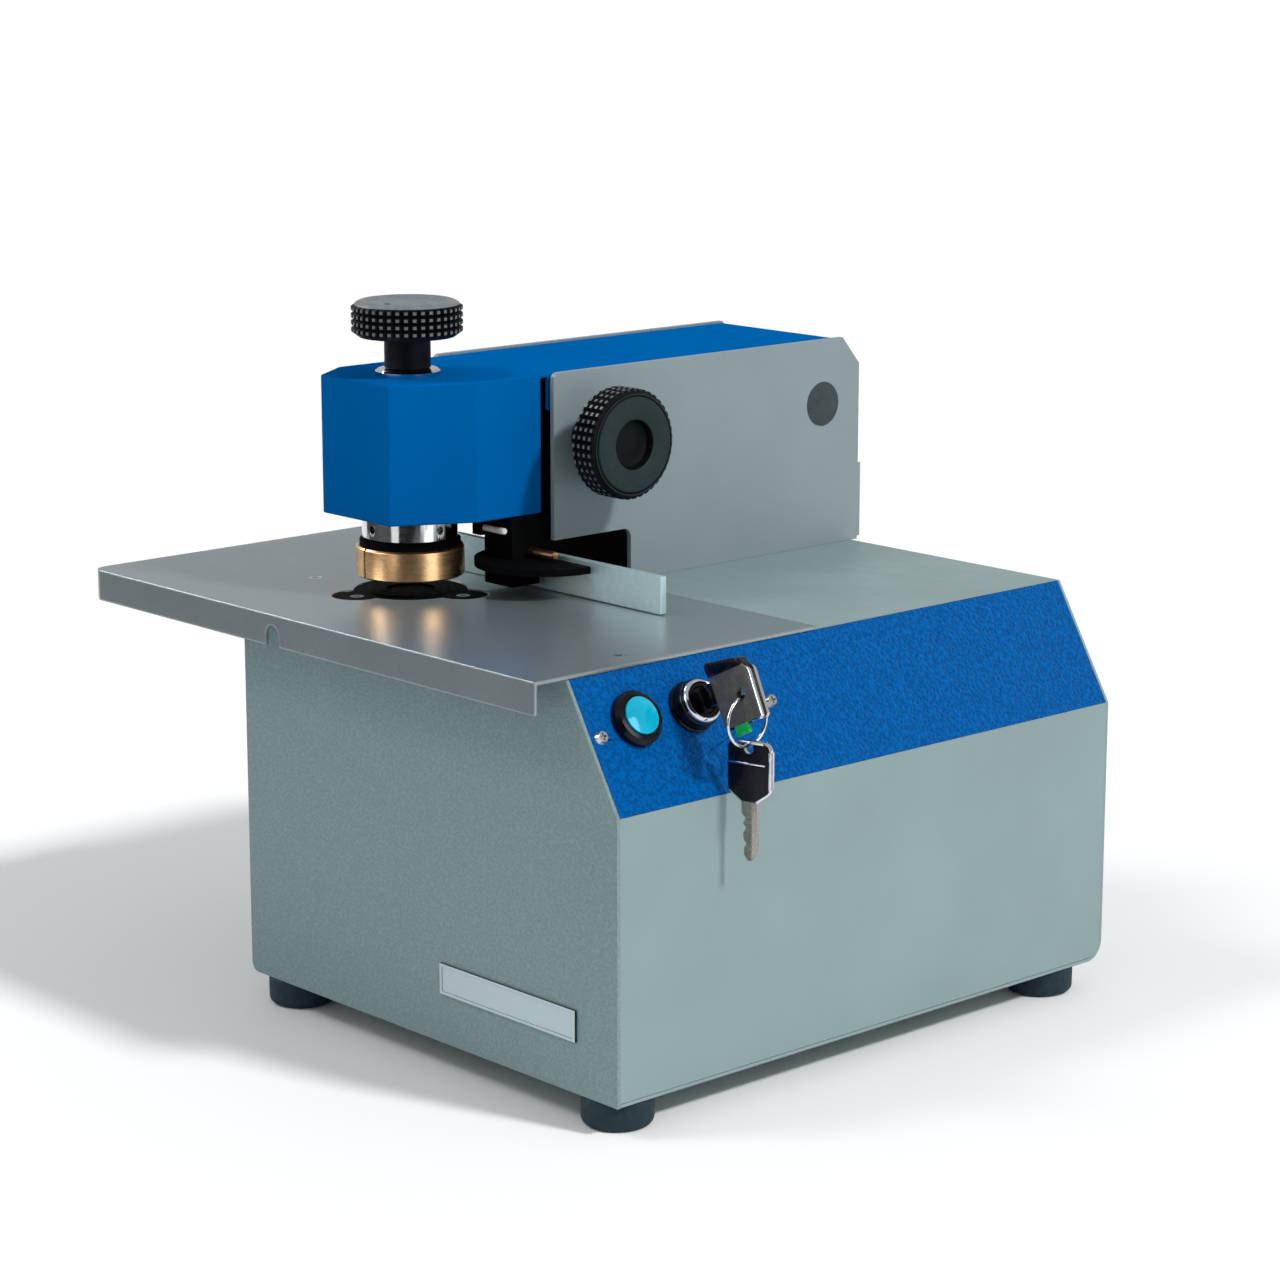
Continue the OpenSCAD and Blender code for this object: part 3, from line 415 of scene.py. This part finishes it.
def round_edges(node, width):
    """Rounds a carried-over part's edges with modifiers, and leaves its mesh alone."""
    weld = node.modifiers.new("weld", "WELD")
    weld.merge_threshold = 0.00001
    bevel = node.modifiers.new("bevel", "BEVEL")
    bevel.width = width
    bevel.segments = 2
    bevel.limit_method = "ANGLE"
    bevel.angle_limit = math.radians(28)
    bevel.use_clamp_overlap = True
    node.modifiers.new("normals", "WEIGHTED_NORMAL").keep_sharp = False


# ---- Mesh tools ----

def mesh_object(name, points, faces):
    """A mesh object from points in metres, with its normals made consistent."""
    bm = bmesh.new()
    made = [bm.verts.new(p) for p in points]
    for face in faces:
        bm.faces.new([made[i] for i in face])
    bmesh.ops.recalc_face_normals(bm, faces=bm.faces)
    mesh = bpy.data.meshes.new(name)
    bm.to_mesh(mesh)
    bm.free()
    thing = bpy.data.objects.new(name, mesh)
    bpy.context.scene.collection.objects.link(thing)
    return thing


def piece(name, shape, finish, body, place=Matrix(), replaces=(), edge=0.0):
    """Makes a piece from a shape in millimetres, puts it in place and lets it ride on a body."""
    points, faces = shape
    thing = mesh_object(name, [place @ (Vector(p) * MM) for p in points], faces)
    if edge:
        soften(thing, edge * MM)
    shade(thing)
    thing.data.materials.append(FINISHES[finish])
    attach(thing, body)
    if replaces:
        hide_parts(*replaces)
    return thing


def soften(thing, width):
    """Bevels every sharp edge of a piece."""
    bm = bmesh.new()
    bm.from_mesh(thing.data)
    sharp = [e for e in bm.edges if e.is_manifold and e.calc_face_angle(0) > math.radians(30)]
    bmesh.ops.bevel(bm, geom=sharp, offset=width, segments=2, profile=0.5, affect="EDGES", clamp_overlap=True)
    bm.to_mesh(thing.data)
    bm.free()


def shade(thing):
    thing.data.shade_smooth()
    thing.data.set_sharp_from_angle(angle=math.radians(32))


def carve(thing, shape, place):
    """Cuts a shape out of a piece."""
    points, faces = shape
    cutter = mesh_object("cutter", [place @ (Vector(p) * MM) for p in points], faces)
    cut = thing.modifiers.new("cut", "BOOLEAN")
    cut.object = cutter
    cut.solver = "EXACT"
    graph = bpy.context.evaluated_depsgraph_get()
    mesh = bpy.data.meshes.new_from_object(thing.evaluated_get(graph))
    thing.modifiers.clear()
    thing.data = mesh
    bpy.data.objects.remove(cutter)


class Turning:
    """A solid built ring by ring about Z."""

    def __init__(self, segments):
        self.segments = segments
        self.points = []
        self.faces = []

    def ring(self, radius, height):
        start = len(self.points)
        if radius == 0:
            self.points.append((0, 0, height))
            return [start]
        for i in range(self.segments):
            a = 2 * math.pi * i / self.segments
            self.points.append((radius * math.cos(a), radius * math.sin(a), height))
        return list(range(start, start + self.segments))

    def join(self, low, high):
        n = self.segments
        for i in range(n):
            j = (i + 1) % n
            if len(low) == 1:
                self.faces.append((low[0], high[j], high[i]))
            elif len(high) == 1:
                self.faces.append((low[i], low[j], high[0]))
            else:
                self.faces.append((low[i], low[j], high[j], high[i]))

    def profile(self, outline, first=None):
        """Joins rings along an outline of (radius, height), from the ring first if it is given."""
        last = first
        for radius, height in outline:
            ring = self.ring(radius, height)
            if last:
                self.join(last, ring)
            last = ring
        return last

    def knurl(self, low, top, radius, tip, rows, flat=0.42):
        """Square pyramids with flat tips, from the ring low up to the height top. Two segments make one column."""
        columns = self.segments // 2
        bottom = self.points[low[0]][2]
        for row in range(rows):
            z0 = bottom + (top - bottom) * row / rows
            z1 = bottom + (top - bottom) * (row + 1) / rows
            high = self.ring(radius, z1)
            margin = (1 - flat) / 2
            tips = (z0 + (z1 - z0) * margin, z1 - (z1 - z0) * margin)
            for column in range(columns):
                a, b, c = 2 * column, 2 * column + 1, (2 * column + 2) % self.segments
                start = len(self.points)
                for z in tips:
                    for part in (margin, 1 - margin):
                        angle = 2 * math.pi * (column + part) / columns
                        self.points.append((tip * math.cos(angle), tip * math.sin(angle), z))
                p, q, r, s = start, start + 1, start + 2, start + 3
                self.faces += [
                    (low[a], low[b], low[c], q, p), (high[c], high[b], high[a], r, s),
                    (low[a], p, r, high[a]), (low[c], high[c], s, q), (p, q, s, r),
                ]
            low = high
        return low

    def shape(self):
        return self.points, self.faces


def turned(outline, segments=96, closed=False):
    """A solid turned about Z. A closed outline makes a ring."""
    solid = Turning(segments)
    if not closed:
        solid.profile(outline)
        return solid.shape()
    first = solid.ring(*outline[0])
    last = solid.profile(outline[1:], first)
    solid.join(last, first)
    return solid.shape()


def plate(outline, low, high):
    """A flat outline in X and Z made into a plate from Y low to Y high."""
    n = len(outline)
    points = [(x, low, z) for x, z in outline] + [(x, high, z) for x, z in outline]
    faces = [tuple(range(n)), tuple(range(2 * n - 1, n - 1, -1))]
    faces += [(i, (i + 1) % n, n + (i + 1) % n, n + i) for i in range(n)]
    return points, faces


def block(low, high):
    return plate([(low[0], low[2]), (high[0], low[2]), (high[0], high[2]), (low[0], high[2])], low[1], high[1])


def arc(centre, radius, start, end, steps=6):
    angles = [math.radians(start + (end - start) * i / steps) for i in range(steps + 1)]
    return [(centre[0] + radius * math.cos(a), centre[1] + radius * math.sin(a)) for a in angles]


def standing(origin, x_axis, z_axis):
    """A frame at origin with those two axes."""
    z = Vector(z_axis).normalized()
    x = (Vector(x_axis) - z * z.dot(Vector(x_axis))).normalized()
    turn = Matrix((x, z.cross(x), z)).transposed().to_4x4()
    return Matrix.Translation(Vector(origin)) @ turn


# ---- Knobs ----

KNOB_COLUMNS = 41
KNURL_DEPTH = 1.7


def paint_faces(thing, finish, wanted):
    """Gives the faces that wanted picks a finish of their own."""
    thing.data.materials.append(FINISHES[finish])
    for face in thing.data.polygons:
        if wanted(face):
            face.material_index = len(thing.data.materials) - 1


def paint_tip_highlights(knob, middle, along, radius):
    """Painted highlights: lighter tips on the knurl of a knob that turns about the line along through middle."""
    def tip(face):
        arm = face.center - Vector(middle)
        arm -= along * along.dot(arm)
        return arm.length > (radius - 0.35) * MM and abs(along.dot(face.normal)) < 0.05
    paint_faces(knob, "knob_tip_highlight", tip)


def top_knob():
    low, high = (corner.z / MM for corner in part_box("top_knob"))
    radius = (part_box("top_knob")[1].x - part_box("top_knob")[0].x) / MM / 2
    height = high - low
    groove = radius - KNURL_DEPTH
    knob = Turning(2 * KNOB_COLUMNS)
    rim = knob.profile([(0, 0.6), (12, 0), (12.5, 0.6), (12.5, height - 20), (13.2, height - 19.4),
                        (radius - 4, height - 19.4), (groove, height - 17.6)])
    rim = knob.knurl(rim, height - 2.2, groove, radius, 4)
    knob.profile([(groove - 0.4, height - 1.4), (radius - 3.6, height - 0.5), (radius - 5.2, height),
                  (radius - 6.6, height - 0.1), (radius - 9, height - 1.7), (radius - 12, height - 2.3),
                  (0, height - 2.6)], rim)
    x, y, _ = JOINTS["top_knob_turn"]["pos_m"]
    place = Matrix.Translation((x, y, low * MM))
    body = piece("top_knob_moulding", knob.shape(), "knob", "top_knob", place, ["top_knob"])
    side = direction(-42, 0) * 10.5 * MM
    dimple = turned([(0, -1.6), (1.7, -0.6), (2.2, 1.5), (0, 1.5)], 32)
    carve(body, dimple, place @ Matrix.Translation((side.x, side.y, (height - 2.5) * MM)))
    shade(body)
    paint_tip_highlights(body, (x, y, 0), Vector((0, 0, 1)), radius)
    # Painted light: the upward faces of the top, inside the knurl, get a lighter grey.
    paint_faces(body, "knob_top_painted_light", lambda face: face.center.z > (high - 3) * MM and face.normal.z > 0.3
                and (Vector(face.center[:2]) - Vector((x, y))).length < (groove + 0.1) * MM)


def side_knob():
    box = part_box("side_knob")
    radius = (box[1].z - box[0].z) / MM / 2
    depth = (box[1].x - box[0].x) / MM
    groove = radius - KNURL_DEPTH
    knob = Turning(2 * KNOB_COLUMNS)
    rim = knob.profile([(0, 0.6), (12, 0), (12.5, 0.6), (12.5, depth - 20), (13.2, depth - 19.6),
                        (radius - 3, depth - 19.6), (groove, depth - 18.2)])
    rim = knob.knurl(rim, depth - 1.8, groove, radius, 4)
    knob.profile([
        (groove - 0.2, depth - 1.2), (groove - 0.9, depth - 0.5), (groove - 1.5, depth - 0.5),
        (groove - 1.9, depth - 0.9), (groove - 2.4, depth - 0.4), (groove - 3.0, depth),
        (14.4, depth), (13.6, depth - 0.4), (13.0, depth - 1.4), (12.6, depth - 4.4), (11.6, depth - 5.2),
        (9.5, depth - 5.6), (6, depth - 5.0), (3, depth - 4.6), (0, depth - 4.5),
    ], rim)
    _, y, z = JOINTS["side_knob_turn"]["pos_m"]
    place = standing((box[0].x, y, z), (0, 0, -1), (1, 0, 0))
    body = piece("side_knob_moulding", knob.shape(), "knob", "side_knob", place, ["side_knob"])
    paint_tip_highlights(body, (0, y, z), Vector((1, 0, 0)), radius)
    paint_faces(body, "knob_face", lambda face: face.normal.x > 0.8 and face.center.x > box[1].x - 2 * MM)


# ---- Key switch and keys ----

LOCK = standing(JOINTS["lock_turn"]["pos_m"], (0, 0, -1), JOINTS["lock_turn"]["axis"])


def lock_switch():
    """Black housing with a bright ring around the lock cylinder."""
    piece("lock_housing", turned([
        (7.54, -30), (11, -30), (11, 0), (13.2, 0), (13.5, 0.4), (13.5, 1.8), (12.9, 2.6), (12.5, 2.6),
        (12.5, 7.8), (12.0, 8.6), (11.2, 8.8), (9.6, 8.8), (9.6, 10.6), (9.0, 11.2), (7.54, 11.2),
    ], closed=True), "gloss_black", "case", LOCK, ["lock_body"])
    piece("lock_front_ring", turned([
        (9.7, 8.9), (11.3, 8.9), (11.6, 9.4), (11.4, 10.5), (10.9, 11.5), (10.2, 12.0), (9.7, 11.8),
    ], closed=True), "chrome", "case", LOCK)
    piece("lock_plug", turned([
        (0, -28), (7.5, -28), (7.5, 10.0), (6.9, 10.6), (6.2, 10.6), (5.9, 10.1), (0, 10.1),
    ], 64), "gloss_black", "lock", LOCK, ["lock_cylinder"])


# Side of the bow, as distance down the slope and height above it
BOW = [(-14.6, 25), (-13, 22.8), (18.6, 20.2), (20.4, 21.8), (23.2, 47.4), (21.8, 49.4), (-1.6, 51.8),
       (-4, 51), (-8.8, 46.2), (-9.8, 44.2)]


def key_in_lock():
    """Key with smoky covers on both sides of its bow, a bright outer edge and a black cap."""
    middle = Vector((5, 36))

    def inset(amount):
        return [tuple(Vector(p) - (Vector(p) - middle).normalized() * amount) for p in BOW]

    blank = piece("key_blank", plate(BOW, -1.3, 1.3), "gloss_black", "lock", LOCK, ["key"], edge=0.3)
    front = piece("key_cover_front", plate(inset(1.0), -2.6, -1.2), "smoky", "lock", LOCK, edge=0.4)
    back = piece("key_cover_back", plate(inset(1.0), 1.2, 2.6), "smoky", "lock", LOCK, edge=0.4)
    hole = turned([(0, -6), (3.5, -6), (3.5, 6), (0, 6)], 48)
    across = LOCK @ Matrix.Translation(Vector((7.6, 0, 40)) * MM) @ Matrix.Rotation(math.radians(90), 4, "X")
    for part in (blank, front, back):
        carve(part, hole, across)
        shade(part)
    rim = [(-3.6, 50.4), (-1.6, 51.8), (21.8, 49.4), (23.2, 47.4), (22.4, 40), (21.2, 40), (21.8, 46.8),
           (21, 48.2), (-1.4, 50.4)]
    piece("key_edge", plate(rim, -2.9, 2.9), "chrome", "lock", LOCK, edge=0.35)
    piece("key_cap", plate([(-15, 24.6), (-13, 22.4), (-7.6, 22.6), (-5.4, 48.0), (-9.2, 46.2), (-10.2, 44.2)],
                           -3.3, 3.3), "gloss_black", "lock", LOCK, edge=0.5)
    piece("key_neck", block((-5.5, -2.2, 12.6), (5.5, 2.2, 24)), "gloss_black", "lock",
          LOCK, edge=0.6)
    piece("key_blade", block((-4, -1, -6), (4, 1, 14)), "steel", "lock", LOCK, edge=0.2)
    piece("key_chip", plate([(20.3, 28), (25.6, 27.4), (26.4, 37.4), (21.2, 38)], -3.0, -1.0), "green", "lock",
          LOCK, edge=0.4)


SPARE_TURN = 15


def spare_key():
    """Spare key that hangs from the ring: a notched steel blank with black covers on its head."""
    place = (Matrix.Translation(Vector(JOINTS["spare_key_swing"]["pos_m"]))
             @ Matrix.Rotation(math.radians(SPARE_TURN), 4, "Z"))

    def head(inset):
        r = 4 - inset
        return (arc((8.5, -0.5), r, 0, 90, 4) + arc((-8.5, -0.5), r, 90, 180, 4)
                + arc((-8.5, -20), r, 180, 235, 3) + [(-4.6 + inset, -28 + inset), (4.6 - inset, -28 + inset)]
                + arc((8.5, -20), r, 305, 360, 3))

    blank = piece("spare_key_blank", plate(head(0), -1.1, 1.1), "chrome", "spare_key", place,
                  ["spare_key"], edge=0.2)
    front = piece("spare_cover_front", plate(head(0.9), -2.0, -1.0), "gloss_black", "spare_key",
                  place, edge=0.35)
    back = piece("spare_cover_back", plate(head(0.9), 1.0, 2.0), "gloss_black", "spare_key",
                 place, edge=0.35)
    hole = turned([(0, -6), (3, -6), (3, 6), (0, 6)], 48)
    for part in (blank, front, back):
        carve(part, hole, place @ Matrix.Rotation(math.radians(90), 4, "X"))
        shade(part)
    for name, low, high in (
        ("spare_top_edge", (-8.6, -2.1, 2.4), (8.6, 2.1, 3.5)),
        ("spare_head_line", (-11.6, -2.15, -8.2), (9.6, -1.9, -7.4)),
        ("spare_right_edge", (11.6, -2.1, -20), (12.5, 2.1, -1)),
    ):
        piece(name, block(low, high), "chrome", "spare_key", place, edge=0.1)
    blade = piece("spare_key_blade", plate([
        (4.4, -27), (4.4, -52), (1.5, -57.5), (-0.5, -57.5), (-2.6, -54.5), (-2.6, -51), (-1.2, -49),
        (-3, -46.5), (-3.2, -43.5), (-1.6, -41), (-3.2, -38.6), (-2, -35.8), (-4.2, -33.4), (-4.4, -27),
    ], -1.1, 1.1), "blade", "spare_key", place, edge=0.15)
    for x, y in ((0.4, -1.1), (2.5, 1.1)):
        carve(blade, block((x, y - 0.45, -58), (x + 1.5, y + 0.45, -28.5)), place)
    shade(blade)


# ---- Paper stop, spring, hood and inlet ----

def stop_pins():
    """The clamping pin of brass and the nylon pin that stand out of the carriage."""
    low, high = (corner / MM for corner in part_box("fence_pins"))
    side = standing((0, 0, 0), (0, 0, -1), (1, 0, 0))

    def pin(name, radius, start, end, y, z, finish, replaced=()):
        chamfer = 0.5
        place = Matrix.Translation(Vector((start, y, z)) * MM) @ side
        piece(name, turned([(0, 0), (radius, 0), (radius, end - start - chamfer),
                            (radius - chamfer, end - start), (0, end - start)], 40),
              finish, "paper_stop", place, replaced)

    pin("brass_pin", 2.25, low.x + 16, high.x, high.y - 2.25, low.z + 2.25, "brass", ["fence_pins"])
    pin("nylon_pin", 1.75, low.x, low.x + 22, low.y + 1.75, high.z - 1.75, "nylon")


def coil_spring():
    """Return spring: a coil of wire whose foot stands on the rod's guide and whose top meets the rod."""
    low, high = (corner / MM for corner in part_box("return_spring"))
    x, y = (low.x + high.x) / 2, (low.y + high.y) / 2
    wire = 1.2
    mean = (high.x - low.x) / 2 - wire
    turns, steps, sides = 5, 36, 12
    count = turns * steps
    points = []
    for i in range(count + 1):
        turn = 2 * math.pi * i / steps
        z = low.z + wire + (high.z - low.z - 2 * wire) * i / count
        for k in range(sides):
            around = 2 * math.pi * k / sides
            r = mean + wire * math.cos(around)
            points.append((x + r * math.cos(turn), y + r * math.sin(turn), z + wire * math.sin(around)))
    faces = [(i * sides + k, i * sides + (k + 1) % sides, (i + 1) * sides + (k + 1) % sides, (i + 1) * sides + k)
             for i in range(count) for k in range(sides)]
    faces += [tuple(range(sides)), tuple(range(count * sides, (count + 1) * sides))]
    coil = mesh_object("spring_coil", [Vector(p) * MM for p in points], faces)
    shade(coil)
    coil.data.materials.append(FINISHES["spring"])
    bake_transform(coil)
    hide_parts("return_spring")


HOOD_HEIGHT = 45


def rear_hood():
    """Shallow cover on the lower half of the arm's back, which reaches past the side plates."""
    left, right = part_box("arm_plate_left")[0].x / MM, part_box("arm_plate_right")[1].x / MM
    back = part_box("arm_plate_right")[1].y / MM
    low, high = (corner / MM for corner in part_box("arm_rear_panel"))
    shape = block((left + 1.2, back + 0.4, low.z + 1.2), (right - 1.2, high.y - 0.05, low.z + HOOD_HEIGHT))
    piece("rear_hood", shape, "arm_grey", "case", edge=0.6)


def inlet_pins():
    """Three flat pins inside the mains inlet."""
    low, high = (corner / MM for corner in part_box("mains_inlet"))
    x, z = (low.x + high.x) / 2, (low.z + high.z) / 2
    for i, (dx, dz) in enumerate([(-7, -1.5), (0, 2.5), (7, -1.5)]):
        shape = block((x + dx - 1, high.y - 20, z + dz - 2.2), (x + dx + 1, high.y - 4, z + dz + 2.2))
        piece(f"inlet_pin_{i + 1}", shape, "steel", "case", edge=0.3)


camera((1.39973, -1.25802, 0.60970), (0.07753, -0.05500, 0.21534), 98.09)
studio()
dress_nodes()
top_knob()
side_knob()
lock_switch()
key_in_lock()
spare_key()
stop_pins()
coil_spring()
rear_hood()
inlet_pins()
